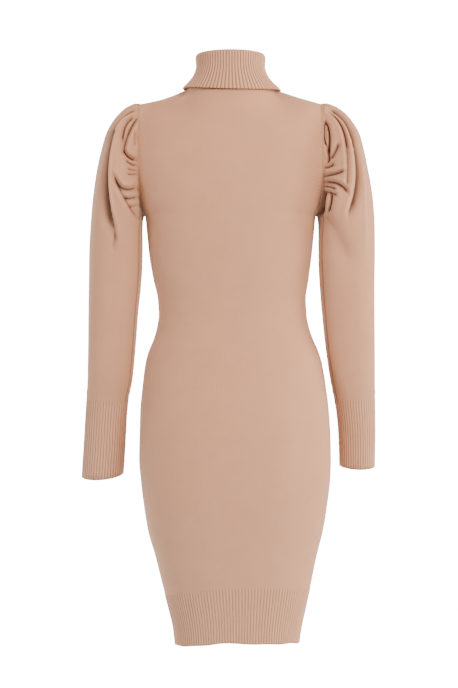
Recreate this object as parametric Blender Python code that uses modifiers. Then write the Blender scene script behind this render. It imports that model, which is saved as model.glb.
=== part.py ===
"""Roll-neck sweater dress, worn and hollow, with gathered sleeve heads and ribbed edges.

Metres, +Z up. The wearer faces -Y and the wearer's left is +X. The origin is the
middle of the neck base, level with the shoulder line, where the wearer carries it.
Tables are in millimetres, one row for each section or fold.
"""

import math
from collections import namedtuple

import bmesh
import bpy
from mathutils import Vector

MM = 0.001
WALL = 1.8 * MM
SEAM_GAP = 0.3 * MM
MERGE = 0.001 * MM
LEFT, RIGHT = 1, -1
BACK, FRONT = 1, -1

# Stitch counts and mesh density
HEM_RIBS = 136
CUFF_RIBS = 44
COLLAR_RIBS = 70
RIB_DEPTH = 0.7 * MM
BODY_COLUMNS = 20
NECK_COLUMNS = 10
HEM_PLAIN_COLUMNS = 34
CUFF_PLAIN_COLUMNS = 22
COLLAR_PLAIN_COLUMNS = 36

COLLECTION = "sweater_dress"
JERSEY_COLOUR = (0.60, 0.39, 0.29, 1)
RIB_COLOUR = (0.56, 0.35, 0.26, 1)
KNIT_ROUGHNESS = 0.9

# Body: flatter than an ellipse across the back and front
BODY_SQUARENESS = 2.25
HEM_BOTTOM = -889.0
HEM_RIB_TOP = -812.0
UNDERARM = -195.0
YOKE = -70.0
HEM_LIFT = 13.0
HEM_LIFT_TOP = -590.0
HEM_LIFT_FADE = 190.0
BODY_HEIGHTS = (-812, -772, -726, -670, -610, -550, -490, -440, -398, -355, -310, -265, -228)
ARMHOLE_HEIGHTS = (UNDERARM, -191, -180, -160, -130, -100, YOKE)
YOKE_STEPS = (0.2, 0.42, 0.62, 0.8, 1)
NORMAL_STEP = 0.01
TOWARDS_NECK = Vector((-0.45, -0.75, 0.8))
CREST_FROM = 0.8
YOKE_FULLNESS = 1.1
RISE_STEP = 10.0

BodySection = namedtuple("BodySection", "height edge edge_back edge_front back front centre")
BODY_SECTIONS = [
    BodySection(-891, 100.5, 0, 0, 84, 84, -11.0),
    BodySection(-860, 104.5, 0, 0, 87, 86, -11.0),
    BodySection(-821, 113.4, 0, 0, 93, 91, -10.5),
    BodySection(-783, 122.3, 0, 0, 99, 95, -9.7),
    BodySection(-744, 131.2, 0, 0, 105, 98, -8.9),
    BodySection(-705, 141.8, 0, 0, 111, 101, -8.1),
    BodySection(-666, 148.2, 0, 0, 117, 103, -8.1),
    BodySection(-627, 153.1, 0, 0, 121, 105, -8.1),
    BodySection(-588, 155.5, 0, 0, 123, 107, -7.3),
    BodySection(-549, 154.6, 0, 0, 122, 109, -7.3),
    BodySection(-510, 152.8, 0, 0, 117, 109, -6.5),
    BodySection(-471, 148.6, 0, 0, 109, 107, -6.0),
    BodySection(-433, 142.9, 0, 0, 99, 103, -5.2),
    BodySection(-413, 136.9, 0, 0, 95, 100, -4.9),
    BodySection(-394, 128.8, 0, 0, 91, 97, -4.6),
    BodySection(-374, 122.9, 0, 0, 88, 94, -4.0),
    BodySection(-355, 119.9, 0, 0, 87, 92, -3.6),
    BodySection(-335, 119.9, 0, 0, 87, 91, -2.4),
    BodySection(-297, 126.2, 0, 0, 90, 95, -0.8),
    BodySection(-258, 131.9, 0, 0, 94, 105, 0),
    BodySection(-219, 135.9, 0, 0, 97, 113, 0),
    BodySection(-195, 138.5, 0, 0, 98, 114, 0),
    BodySection(-191, 140.5, 13, 12, 98, 113.8, 0),
    BodySection(-180, 145.0, 26, 24, 98, 112.5, 0),
    BodySection(-160, 150.0, 37, 34, 98, 108.5, 0),
    BodySection(-130, 153.5, 44, 41, 96.5, 101, 0),
    BodySection(-100, 153.5, 45, 42, 92.5, 92.5, 0),
    BodySection(-70, 152.5, 40, 37, 86, 84, 0),
]

# Shoulder line and neckline, where the two panels end
SHOULDER_TIP = (149.0, 0.0, -14.6)
NECK_POINT = (69.0, 0.0, 10.0)
SHOULDER_DIP = {LEFT: 3.4, RIGHT: 0.6}
NECKLINE_BACK = (66.0, -4.0)
NECKLINE_FRONT = (70.0, -24.0)

# Sleeve: a loop round the armhole that turns into rings round the arm
SleeveSection = namedtuple(
    "SleeveSection",
    "station inner_height outer_height left_inner left_outer right_inner right_outer back front middle drop",
)
SLEEVE_SECTIONS = [
    SleeveSection(0, -195, -14.6, 139.0, 149.0, 139.0, 149.0, 45, 42, 0, 0),
    SleeveSection(1, -196, -13.4, 139.3, 155.0, 139.3, 157.0, 51, 48, 0, 0),
    SleeveSection(2, -197, -17.5, 139.8, 166.0, 139.8, 169.5, 58, 55, 0, 0),
    SleeveSection(3, -199, -27.5, 140.4, 178.5, 140.4, 184.5, 65, 62, 0, 0),
    SleeveSection(4, -202, -42.5, 141.0, 191.0, 141.0, 197.5, 71, 67, 0, 0),
    SleeveSection(5, -206, -63.0, 141.5, 201.7, 141.5, 209.0, 76, 72, 1, 0),
    SleeveSection(6, -211, -87.0, 141.8, 208.8, 141.8, 215.6, 78, 74, 2, 0),
    SleeveSection(7, -218, -113.0, 142.0, 214.7, 142.0, 221.0, 77, 73, 3, 0),
    SleeveSection(8, -227, -143.0, 142.0, 219.7, 142.0, 226.6, 74, 70, 4, 0),
    SleeveSection(9, -240, -178.0, 141.9, 223.7, 141.9, 231.2, 69, 66, 5, 0),
    SleeveSection(10, -257, -216.0, 141.9, 226.5, 142.0, 233.2, 63, 61, 6, 0),
    SleeveSection(11, -281, -259.0, 142.4, 228.6, 142.4, 233.6, 56, 55, 6, 0),
    SleeveSection(12, -312, -304.0, 144.6, 229.2, 144.2, 233.0, 50, 49, 5, 0),
    SleeveSection(13, -353, -351.0, 149.0, 230.2, 147.8, 233.4, 45, 44, 2, 1),
    SleeveSection(14, -405, -405.0, 153.2, 231.0, 153.4, 234.2, 41, 40, -3, 3),
    SleeveSection(15, -462, -462.0, 159.0, 232.6, 162.0, 235.0, 36, 35, -10, 5),
    SleeveSection(16, -487, -487.0, 164.8, 234.0, 167.6, 235.2, 30, 30, -14, 6),
]
SLEEVE_END = 16
SLEEVE_RINGS = (0, 0.7, 1.5, 2.4, 3.4, 4.4, 5.4, 6.4, 7.4, 8.6, 10, 11.4, 12.8, 14, 15, 16)
ARMHOLE_SPLITS = (2, 2, 3, 3, 3, 3, 2, 2, 1, 1, 2)
ARMHOLE_BLEND = 5.0
GATHER_DEPTH = 1.6 * MM
GATHER_REACH = 2.2
GATHERS_END = 0.7
GATHERS_FADE = 0.5
FOLDS_FREE_FROM = 2.0
FOLDS_FACING = 0.45
FOLD_SOFTNESS = 1.6
STATION_STEP = 0.2

CuffSection = namedtuple(
    "CuffSection", "station inner_height outer_height inner outer back front middle drop"
)
CUFF_SECTIONS = {
    LEFT: [
        CuffSection(0, -614, -620, 175.0, 244.0, 28, 28, -39, 7.5),
        CuffSection(1, -565, -568, 171.4, 240.0, 27, 27, -29, 7),
        CuffSection(2, -520, -522, 168.6, 236.6, 28, 28, -20, 6),
        CuffSection(3, -487, -487, 164.8, 234.0, 30, 30, -14, 6),
    ],
    RIGHT: [
        CuffSection(0, -601, -603, 178.4, 236.6, 27, 27, -38, 6),
        CuffSection(1, -560, -560, 176.8, 236.8, 27, 27, -30, 6),
        CuffSection(2, -520, -520, 173.4, 236.0, 28, 28, -21, 6),
        CuffSection(3, -487, -487, 167.6, 235.2, 30, 30, -14, 6),
    ],
}
CUFF_TOP = 3

# Folds of the gathered sleeve head, in the plane of the seat of the sleeve: across, height
Fold = namedtuple("Fold", "start bend end half_width depth")
FOLDS = {
    "swept": [
        Fold((162, -20), (196, -52), (201, -114), 11, 9.0),
        Fold((201, -110), (202, -150), (188, -212), 12, 8.0),
        Fold((158, -33), (173, -50), (177, -78), 7, 4.0),
        Fold((152, -38), (168, -66), (172, -90), 7, 5.0),
        Fold((172, -90), (168, -100), (153, -101), 6, 4.5),
        Fold((168, -108), (160, -110), (153, -108), 5, 3.0),
        Fold((170, -124), (161, -124), (153, -122), 5, 3.0),
        Fold((189, -133), (174, -156), (153, -150), 7, 5.0),
        Fold((170, -168), (162, -170), (152, -166), 6, 4.0),
        Fold((189, -135), (172, -164), (152, -197), 7, 4.0),
    ],
    "rolled": [
        Fold((158, -19), (200, -44), (204, -112), 11, 9.0),
        Fold((204, -108), (209, -150), (191, -192), 11, 7.0),
        Fold((156, -28), (184, -44), (188, -84), 8, 4.5),
        Fold((188, -84), (191, -115), (190, -146), 9, 3.5),
        Fold((154, -46), (160, -76), (155, -102), 7, 6.0),
        Fold((174, -79), (170, -96), (158, -107), 6, 4.5),
        Fold((181, -124), (170, -130), (157, -130), 6, 4.0),
        Fold((189, -160), (174, -148), (158, -141), 7, 5.0),
        Fold((156, -163), (163, -174), (157, -185), 6, 4.0),
        Fold((147, -192), (168, -220), (189, -258), 11, 5.0),
    ],
}
FOLDS_ON = {
    (LEFT, BACK): "swept",
    (LEFT, FRONT): "rolled",
    (RIGHT, BACK): "rolled",
    (RIGHT, FRONT): "swept",
}
FOLD_SAMPLES = 10

# Collar: rings of one rib tube, up the stand, over the roll and down the turn-over
CollarRing = namedtuple("CollarRing", "side back front side_height back_height front_height")
STAND_INSIDE = [
    CollarRing(66.3, 63.4, 67.4, 10.6, -3.5, -23.5),
    CollarRing(56.6, 56.2, 57.2, 27.0, 19.0, 6.0),
    CollarRing(50.2, 51.0, 51.0, 46.0, 44.0, 36.0),
    CollarRing(50.4, 51.4, 51.0, 61.0, 60.5, 54.0),
]
TURN_OVER = [
    CollarRing(51.5, 52.5, 52.0, 66.0, 66.0, 59.0),
    CollarRing(54.6, 55.6, 55.0, 67.4, 67.6, 60.4),
    CollarRing(56.0, 57.0, 56.5, 62.5, 62.5, 55.5),
    CollarRing(55.2, 56.2, 56.0, 47.5, 47.0, 38.0),
    CollarRing(59.8, 60.4, 61.0, 32.0, 31.0, 16.0),
    CollarRing(69.0, 67.2, 69.0, 19.5, 15.0, -4.5),
    CollarRing(77.0, 73.5, 76.5, 9.4, 3.5, -17.0),
]
TURN_OVER_INSIDE = [
    CollarRing(75.2, 71.6, 74.6, 9.2, 3.5, -16.8),
    CollarRing(67.3, 65.3, 67.2, 18.3, 14.0, -5.5),
    CollarRing(57.8, 58.4, 59.0, 31.6, 30.6, 15.6),
    CollarRing(53.2, 54.2, 54.0, 47.5, 47.0, 38.0),
    CollarRing(53.3, 54.3, 53.9, 60.5, 60.5, 53.5),
]
STAND_OUTSIDE = [
    CollarRing(52.3, 53.2, 52.9, 60.0, 59.5, 53.0),
    CollarRing(52.2, 53.1, 53.0, 46.0, 44.0, 36.0),
    CollarRing(56.4, 56.8, 57.4, 31.0, 24.0, 11.5),
    CollarRing(67.9, 65.0, 69.0, 11.0, -3.4, -23.3),
]


def section_at(table, key, value):
    """Row of a table at any value of its key column, on a smooth curve through the rows."""
    keys = [getattr(row, key) for row in table]
    last = len(table) - 2
    start = min(max(sum(1 for known in keys[1:] if known <= value), 0), last)
    span = keys[start + 1] - keys[start]
    part = (value - keys[start]) / span
    columns = []
    for name in table[0]._fields:
        before = getattr(table[start], name)
        after = getattr(table[start + 1], name)
        slope_in = slope_at(table, keys, name, start) * span
        slope_out = slope_at(table, keys, name, start + 1) * span
        columns.append(hermite(before, slope_in, after, slope_out, part))
    return type(table[0])(*columns)


def slope_at(table, keys, name, index):
    """Slope of a column at one row, flat where the column turns round."""
    def slope_from(near):
        rise = getattr(table[near + 1], name) - getattr(table[near], name)
        return rise / (keys[near + 1] - keys[near])

    if index == 0 or index == len(table) - 1:
        return slope_from(max(index - 1, 0))
    before, after = slope_from(index - 1), slope_from(index)
    if before * after <= 0:
        return 0.0
    return 2 * before * after / (before + after)


def hermite(start, start_slope, end, end_slope, part):
    """Cubic from start to end with the given slopes; numbers or vectors."""
    square = part * part
    cube = square * part
    return (
        start * (2 * cube - 3 * square + 1)
        + start_slope * (cube - 2 * square + part)
        + end * (3 * square - 2 * cube)
        + end_slope * (cube - square)
    )


def smooth(value):
    """Ease from 0 to 1."""
    value = min(max(value, 0.0), 1.0)
    return value * value * (3 - 2 * value)


def signed_power(value, power):
    return math.copysign(abs(value) ** power, value)


def body_section(face, across, height, inset=0.0):
    """Point of one panel at a height; across runs from -1, wearer's right, to 1, left.

    The inset, in mm, takes the section inwards, for the inside of the wall.
    """
    row = section_at(BODY_SECTIONS, "height", height)
    depth = row.back if face == BACK else row.front
    edge_depth = max(row.edge_back if face == BACK else row.edge_front, 0.0)
    if height <= UNDERARM:
        edge_depth = 0.0
    edge_share = (1 - (edge_depth / depth) ** BODY_SQUARENESS) ** (1 / BODY_SQUARENESS)
    round_width = row.edge / edge_share
    edge_angle = math.asin(min(edge_share ** (BODY_SQUARENESS / 2), 1.0))
    angle = across * edge_angle
    x = row.centre + (round_width - inset) * signed_power(math.sin(angle), 2 / BODY_SQUARENESS)
    y = (depth - inset) * max(math.cos(angle), 0.0) ** (2 / BODY_SQUARENESS)
    lift = 0.0
    if face == BACK:
        lift = HEM_LIFT * smooth((HEM_LIFT_TOP - height) / HEM_LIFT_FADE)
    z = height + lift * math.cos(angle) ** 2
    return Vector((x, face * (y + SEAM_GAP / MM / 2), z)) * MM


def top_edge(face, across, inset=0.0):
    """Point of a panel's top edge: shoulder seam outside the neck point, neckline inside it."""
    neck_share = NECK_COLUMNS / BODY_COLUMNS
    side = RIGHT if across < 0 else LEFT
    share = abs(across)
    if share >= neck_share:
        along = (share - neck_share) / (1 - neck_share)
        x = NECK_POINT[0] + (SHOULDER_TIP[0] - NECK_POINT[0]) * along
        z = NECK_POINT[2] + (SHOULDER_TIP[2] - NECK_POINT[2]) * along
        z -= SHOULDER_DIP[side] * math.sin(math.pi * along) + inset
        return Vector((side * x, face * SEAM_GAP / MM / 2, z)) * MM
    depth, centre_height = NECKLINE_BACK if face == BACK else NECKLINE_FRONT
    angle = math.pi / 2 * share / neck_share
    x = NECK_POINT[0] * math.sin(angle)
    y = (depth - inset / 2) * math.cos(angle)
    z = centre_height + (NECK_POINT[2] - centre_height) * math.sin(angle) ** 2 - inset
    return Vector((side * x, face * (y + SEAM_GAP / MM / 2), z)) * MM


def body_point(face, across, level, inset=0.0):
    """Panel point; level is a height in mm up to the yoke, then yoke + 1 at the top edge."""
    if level <= YOKE:
        return body_section(face, across, level, inset)
    part = level - YOKE
    start = body_section(face, across, YOKE, inset)
    rise = start - body_section(face, across, YOKE - RISE_STEP, inset)
    end = top_edge(face, across, inset)
    span = (end - start).length
    crest = Vector((0, -face, 0))
    to_neck = Vector((TOWARDS_NECK.x * across, TOWARDS_NECK.y * face, TOWARDS_NECK.z)).normalized()
    neck_share = NECK_COLUMNS / BODY_COLUMNS
    outward = smooth((abs(across) - neck_share * CREST_FROM) / (1 - neck_share))
    arrive = to_neck.lerp(crest, outward).normalized()
    pull = span * YOKE_FULLNESS
    return hermite(start, rise.normalized() * pull, end, arrive * pull, part)


def panel_inside(face, across, level):
    """Point of the inside of a panel's wall."""
    if level <= YOKE:
        return body_point(face, across, level, WALL / MM)
    near, far = max(across - NORMAL_STEP, -1.0), min(across + NORMAL_STEP, 1.0)
    low, high = level - NORMAL_STEP, min(level + NORMAL_STEP, YOKE + 1)
    sideways = body_point(face, far, level) - body_point(face, near, level)
    upwards = body_point(face, across, high) - body_point(face, across, low)
    normal = upwards.cross(sideways).normalized() * face
    point = body_point(face, across, level) - normal * WALL
    point.y = face * max(point.y * face, SEAM_GAP / 2)
    return point


def panel_levels():
    """Levels of the rows of a body panel, from the hem rib up to the shoulder."""
    return [*BODY_HEIGHTS, *ARMHOLE_HEIGHTS, *(YOKE + step for step in YOKE_STEPS)]


def armhole_edge(face):
    """Armhole edge of a panel from the shoulder tip to the underarm, split for the sleeve."""
    levels = [level for level in panel_levels() if level >= UNDERARM]
    corners = [body_point(face, LEFT, level) for level in reversed(levels)]
    points = []
    for corner, following, splits in zip(corners, corners[1:], reversed(ARMHOLE_SPLITS)):
        points += [corner.lerp(following, step / splits) for step in range(splits)]
    return [*points, corners[-1]]


def armhole_ring():
    """Armhole loop as (clock angle, point): 0 at the tip, half a turn at the underarm."""
    back = armhole_edge(BACK)
    front = armhole_edge(FRONT)
    ring = []
    for edge, turn in ((back, 1), (front, -1)):
        lengths = [0.0]
        for before, after in zip(edge, edge[1:]):
            lengths.append(lengths[-1] + (after - before).length)
        turns = [turn * math.pi * length / lengths[-1] for length in lengths]
        ring.append(list(zip(turns, edge)))
    for end in (0, -1):
        middle = (ring[0][end][1] + ring[1][end][1]) / 2
        ring[0][end] = (ring[0][end][0], middle)
    return ring[0] + [(2 * math.pi + angle, point) for angle, point in reversed(ring[1][:-1])]


def arm_ring(inner, outer, back, front, middle, drop, angle):
    """Point of a ring round the arm; angle 0 outside, a quarter turn behind, half inside."""
    depth = back if math.sin(angle) >= 0 else front
    centre = (inner + outer) / 2 + Vector((0, middle, 0))
    across = (outer - inner) / 2
    behind = Vector((0, depth, -drop))
    return (centre + across * math.cos(angle) + behind * math.sin(angle)) * MM


def sleeve_ring(side, station, angle):
    """Smooth sleeve, mirrored to the wearer's left; station counts the table's rows."""
    row = section_at(SLEEVE_SECTIONS, "station", station)
    inner = Vector((row.left_inner if side == LEFT else row.right_inner, 0, row.inner_height))
    outer = Vector((row.left_outer if side == LEFT else row.right_outer, 0, row.outer_height))
    return arm_ring(inner, outer, row.back, row.front, row.middle, row.drop, angle)


def fold_depth(side, face, point):
    """How far the cloth of the sleeve head is drawn in at a point, in metres."""
    across, height = abs(point.x) / MM, point.z / MM
    depth = 0.0
    parts = [step / FOLD_SAMPLES for step in range(FOLD_SAMPLES + 1)]
    for fold in FOLDS[FOLDS_ON[side, face]]:
        nearest = min(fold_distance(fold, across, height, part) for part in parts)
        depth += fold.depth * (1 - smooth(nearest / (fold.half_width * FOLD_SOFTNESS)))
    return depth * MM


def fold_distance(fold, across, height, part):
    """Distance to the point at a part of a fold's curved line."""
    rest = 1 - part
    x = rest * rest * fold.start[0] + 2 * rest * part * fold.bend[0] + part * part * fold.end[0]
    z = rest * rest * fold.start[1] + 2 * rest * part * fold.bend[1] + part * part * fold.end[1]
    return math.hypot(across - x, height - z)


def sleeve_skin(side):
    """Function for the sleeve's outer points: column of the armhole ring, station."""
    ring = armhole_ring()
    gap = Vector((SEAM_GAP, 0, 0))

    def smooth_point(column, station):
        angle, edge = ring[column]
        point = sleeve_ring(side, station, angle)
        hold = 1 - smooth(station / ARMHOLE_BLEND)
        return point + (edge + gap - sleeve_ring(side, 0, angle)) * hold

    def folded_point(column, station):
        point = smooth_point(column, station)
        angle = ring[column][0]
        last = len(ring) - 1
        around = smooth_point((column + 1) % last, station) - smooth_point((column - 1) % last, station)
        down = smooth_point(column, min(station + STATION_STEP, SLEEVE_END))
        along = down - smooth_point(column, max(station - STATION_STEP, 0))
        normal = along.cross(around).normalized()
        facing = smooth(abs(math.sin(angle)) / FOLDS_FACING)
        face = BACK if math.sin(angle) >= 0 else FRONT
        free = smooth(station / FOLDS_FREE_FROM)
        pull = fold_depth(side, face, point) * facing * free
        wave = GATHER_DEPTH * math.cos(math.pi * column) * max(0.0, 1 - station / GATHER_REACH)
        topside = smooth((math.cos(angle) + GATHERS_END) / GATHERS_FADE)
        point += normal * (wave * topside * free - pull)
        point.x = max(point.x, ring[column][1].x + SEAM_GAP)
        return point

    return folded_point, len(ring) - 1


def sleeve_object(side):
    """One sleeve: a folded tube given its wall by Solidify."""
    skin, columns = sleeve_skin(side)
    mesh = bmesh.new()
    grid = add_grid(mesh, columns, len(SLEEVE_RINGS) - 1)
    for row, station in zip(grid, SLEEVE_RINGS):
        for column, vertex in enumerate(row):
            point = skin(column % columns, station)
            vertex.co = Vector((point.x * side, point.y, point.z))
    bmesh.ops.remove_doubles(mesh, verts=mesh.verts, dist=MERGE)
    bmesh.ops.recalc_face_normals(mesh, faces=mesh.faces)
    name = "sleeve_left" if side == LEFT else "sleeve_right"
    sleeve = finish_object(name, mesh, knit_material(name))
    wall = sleeve.modifiers.new("wall", "SOLIDIFY")
    wall.thickness = WALL
    wall.offset = -1
    wall.use_even_offset = False
    wall.use_rim = True
    return sleeve


def add_grid(mesh, columns, rows):
    """Grid of vertices in a mesh, given back row by row."""
    made = bmesh.ops.create_grid(mesh, x_segments=columns, y_segments=rows, size=1)["verts"]
    width = columns + 1
    return [made[start:start + width] for start in range(0, len(made), width)]


def stitch(mesh, lower, upper):
    """Faces between two rows of vertices, which may have unlike counts."""
    here, there = 0, 0
    last_here, last_there = len(lower) - 1, len(upper) - 1
    while here < last_here or there < last_there:
        lean_here = (lower[here + 1].co - upper[there].co).length if here < last_here else math.inf
        lean_there = (lower[here].co - upper[there + 1].co).length if there < last_there else math.inf
        if lean_here <= lean_there:
            mesh.faces.new((lower[here], lower[here + 1], upper[there]))
            here += 1
        else:
            mesh.faces.new((lower[here], upper[there + 1], upper[there]))
            there += 1


def loft_object(name, skins, closed):
    """Closed wall from a chain of skins, each (point function, columns, rows) bottom to top."""
    mesh = bmesh.new()
    placed = []
    for index, (point_at, columns, rows) in enumerate(skins):
        grid = add_grid(mesh, columns, rows)
        facets = [face for face in mesh.faces if len(face.verts) == 4]
        bmesh.ops.triangulate(mesh, faces=facets, quad_method="ALTERNATE" if index % 2 else "FIXED")
        for step, row in enumerate(grid):
            for column, vertex in enumerate(row):
                vertex.co = point_at(column / columns, step / rows)
        placed.append(grid)
    for grid, following in zip(placed, [*placed[1:], placed[0]]):
        stitch(mesh, grid[-1], following[0])
    if closed:
        bmesh.ops.remove_doubles(mesh, verts=mesh.verts, dist=MERGE)
    else:
        outer, inner = placed
        for end in (0, -1):
            stitch(mesh, [row[end] for row in outer], [row[end] for row in reversed(inner)])
    bmesh.ops.recalc_face_normals(mesh, faces=mesh.faces)
    return finish_object(name, mesh, knit_material(name))


def rib_height(share, ribs):
    """Rise and fall of the ribs round a share of their run."""
    return RIB_DEPTH * (abs((share * ribs * 2) % 2 - 1) - 0.5)


def panel_object(face):
    """Front or back panel: jersey from the hem rib to the shoulder seam and neckline."""
    levels = panel_levels()
    rows = len(levels) - 1

    def level_at(up):
        place = min(max(up, 0.0), 1.0) * rows
        index = min(int(place), rows - 1)
        return levels[index] + (levels[index + 1] - levels[index]) * (place - index)

    def outer(across, up):
        return body_point(face, across * 2 - 1, level_at(up))

    def inner(across, up):
        return panel_inside(face, across * 2 - 1, level_at(1 - up))

    name = "back_panel" if face == BACK else "front_panel"
    return loft_object(name, [(outer, BODY_COLUMNS, rows), (inner, BODY_COLUMNS, rows)], closed=False)


def hem_rib_object(face):
    """Half of the ribbed hem, knitted on below a panel."""
    top = HEM_RIB_TOP - SEAM_GAP / MM

    def outer(across, up):
        height = HEM_BOTTOM + (top - HEM_BOTTOM) * up
        return body_section(face, across * 2 - 1, height, -rib_height(across, HEM_RIBS // 2) / MM)

    def inner(across, up):
        height = top + (HEM_BOTTOM - top) * up
        return body_section(face, across * 2 - 1, height, WALL / MM)

    name = "hem_rib_back" if face == BACK else "hem_rib_front"
    return loft_object(name, [(outer, HEM_RIBS, 2), (inner, HEM_PLAIN_COLUMNS, 2)], closed=False)


def cuff_object(side):
    """Ribbed cuff, one tube."""
    def ring(across, up, inset):
        row = section_at(CUFF_SECTIONS[side], "station", up * CUFF_TOP)
        inner = Vector((row.inner + inset, 0, row.inner_height))
        outer = Vector((row.outer - inset, 0, row.outer_height))
        angle = across * 2 * math.pi
        point = arm_ring(inner, outer, row.back - inset, row.front - inset, row.middle, row.drop, angle)
        lowered = SEAM_GAP * up
        return Vector((point.x * side, point.y, point.z - lowered))

    def outer(across, up):
        return ring(across, up, -rib_height(across, CUFF_RIBS) / MM)

    def inner(across, up):
        return ring(across, 1 - up, WALL / MM)

    name = "cuff_left" if side == LEFT else "cuff_right"
    skins = [(outer, CUFF_RIBS * 2, CUFF_TOP), (inner, CUFF_PLAIN_COLUMNS, CUFF_TOP)]
    return loft_object(name, skins, closed=True)


def collar_skin(rings, ribs):
    """Point function of a run of collar rings, ribbed when it has a rib count."""
    def point_at(across, up):
        row = rings[min(round(up * (len(rings) - 1)), len(rings) - 1)]
        angle = across * 2 * math.pi
        raised = rib_height(across, ribs) / MM - RIB_DEPTH / MM / 2 if ribs else 0.0
        behind = math.sin(angle) >= 0
        depth, height = (row.back, row.back_height) if behind else (row.front, row.front_height)
        x = (row.side + raised) * math.cos(angle)
        y = (depth + raised) * math.sin(angle)
        z = row.side_height + (height - row.side_height) * math.sin(angle) ** 2
        return Vector((x, y, z)) * MM

    return point_at


def collar_object():
    """Roll-neck collar: a rib tube linked to the neckline and turned over on itself."""
    skins = []
    for rings in (STAND_INSIDE, TURN_OVER, TURN_OVER_INSIDE, STAND_OUTSIDE):
        ribs = COLLAR_RIBS if rings is TURN_OVER else 0
        columns = ribs * 2 if ribs else COLLAR_PLAIN_COLUMNS
        skins.append((collar_skin(rings, ribs), columns, len(rings) - 1))
    return loft_object("collar", skins, closed=True)


def knit_material(name):
    """Dusty rose-beige knit, a little deeper where it is ribbed."""
    ribbed = "rib" in name or "cuff" in name or "collar" in name
    material = bpy.data.materials.new(name + "_knit")
    material.use_nodes = True
    shader = material.node_tree.nodes["Principled BSDF"]
    shader.inputs["Base Color"].default_value = RIB_COLOUR if ribbed else JERSEY_COLOUR
    shader.inputs["Roughness"].default_value = KNIT_ROUGHNESS
    shader.inputs["Metallic"].default_value = 0.0
    return material


def finish_object(name, mesh, material):
    """Object in the dress's collection from a finished mesh."""
    data = bpy.data.meshes.new(name)
    mesh.to_mesh(data)
    mesh.free()
    data.materials.append(material)
    data.shade_smooth()
    made = bpy.data.objects.new(name, data)
    bpy.data.collections[COLLECTION].objects.link(made)
    return made


def build_dress():
    for old in list(bpy.data.objects):
        bpy.data.objects.remove(old, do_unlink=True)
    collection = bpy.data.collections.new(COLLECTION)
    bpy.context.scene.collection.children.link(collection)
    for face in (BACK, FRONT):
        panel_object(face)
        hem_rib_object(face)
    for side in (LEFT, RIGHT):
        sleeve_object(side)
        cuff_object(side)
    collar_object()


build_dress()
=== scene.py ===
"""Looks of the roll-neck sweater dress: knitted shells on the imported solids.

Metres, +Z up, the wearer faces -Y and the wearer's left is +X. Heights, levels and the
tables of sections and folds are in millimetres, and a value times MM is in metres.
"""

import math
from collections import namedtuple
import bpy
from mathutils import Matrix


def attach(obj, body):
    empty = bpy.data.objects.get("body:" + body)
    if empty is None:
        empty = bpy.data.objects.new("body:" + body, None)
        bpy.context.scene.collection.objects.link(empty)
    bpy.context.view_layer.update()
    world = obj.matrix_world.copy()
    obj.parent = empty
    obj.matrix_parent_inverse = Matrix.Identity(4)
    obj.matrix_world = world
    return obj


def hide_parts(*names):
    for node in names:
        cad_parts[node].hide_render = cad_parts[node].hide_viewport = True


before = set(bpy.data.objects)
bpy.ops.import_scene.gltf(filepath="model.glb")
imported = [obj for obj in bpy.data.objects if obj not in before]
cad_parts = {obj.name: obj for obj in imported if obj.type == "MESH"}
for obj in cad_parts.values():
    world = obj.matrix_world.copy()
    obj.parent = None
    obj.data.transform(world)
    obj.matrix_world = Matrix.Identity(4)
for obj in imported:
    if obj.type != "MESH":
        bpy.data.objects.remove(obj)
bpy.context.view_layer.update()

from types import SimpleNamespace

import bpy
import numpy as np

MM = 0.001
SHELL = 1.4 * MM
SEAM_GAP = 0.3 * MM
SEAM_OVERLAP = 0.2 * MM
MERGE_DISTANCE = 0.01 * MM
LEFT, RIGHT = 1, -1
BACK, FRONT = 1, -1

# Steps that a form's normals are measured over
ACROSS_STEP = 0.004
HEIGHT_STEP = 0.5
YOKE_STEP = 0.01
TURN_STEP = 0.02
STATION_STEP = 0.1
RING_STEP = 0.02

# Ribs: how many go round, how deep they are, and how strongly their furrows get painted shade and
# their ridges painted highlight
HEM_RIBS = 136
CUFF_RIBS = 46
COLLAR_RIBS = 76
RIB_DEPTH = 1.3 * MM
CUFF_RIB_DEPTH = 0.9 * MM
HEM_FURROW = 1.35
CUFF_FURROW = 1.3
COLLAR_FURROW = 2.1
RIB_PALE = 2.3

# Panels: sections up to the yoke, then a cap to the shoulder seams and the neckline, which
# takes NECK_SHARE of the top edge; the cap rises TOWARDS_NECK there and arrives level outside
BODY_SQUARENESS = 2.25
UNDERARM = -195.0
YOKE = -70.0
TOWARDS_NECK = (-0.45, -0.75, 0.8)
CREST_FROM = 0.8
YOKE_FULLNESS = 1.1
RISE_STEP = 10.0
NECK_SHARE = 0.5
CORNER_REACH = 0.24
CORNER_WIDTH = 0.28
CORNER_SAMPLES = 9

# Hem: its rib, and how the edge lifts in the middle of the back, slants, sags and ripples
HEM_BOTTOM = -889.0
HEM_OVERRUN = 2.0
HEM_RIB_TOP = -805.0
HEM_RIB_SLOPE = 6.5
HEM_RIB_FADE = 7.0
RIB_SPACING_HEIGHT = -845.0
SPACING_SAMPLES = 401
HEM_LIFT = 13.0
HEM_LIFT_TOP = -590.0
HEM_LIFT_FADE = 190.0
HEM_SLANT = 5.5 * MM
HEM_SAG = 3.8 * MM
HEM_EDGE_TOP = -850.0
HEM_EDGE_FADE = 40.0
Ripple = namedtuple("Ripple", "height beat phase")
HEM_RIPPLES = [Ripple(1.0, 9, 0.6), Ripple(0.6, 17, 0.0)]
RIPPLE_EDGE_POWER = 6
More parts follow.
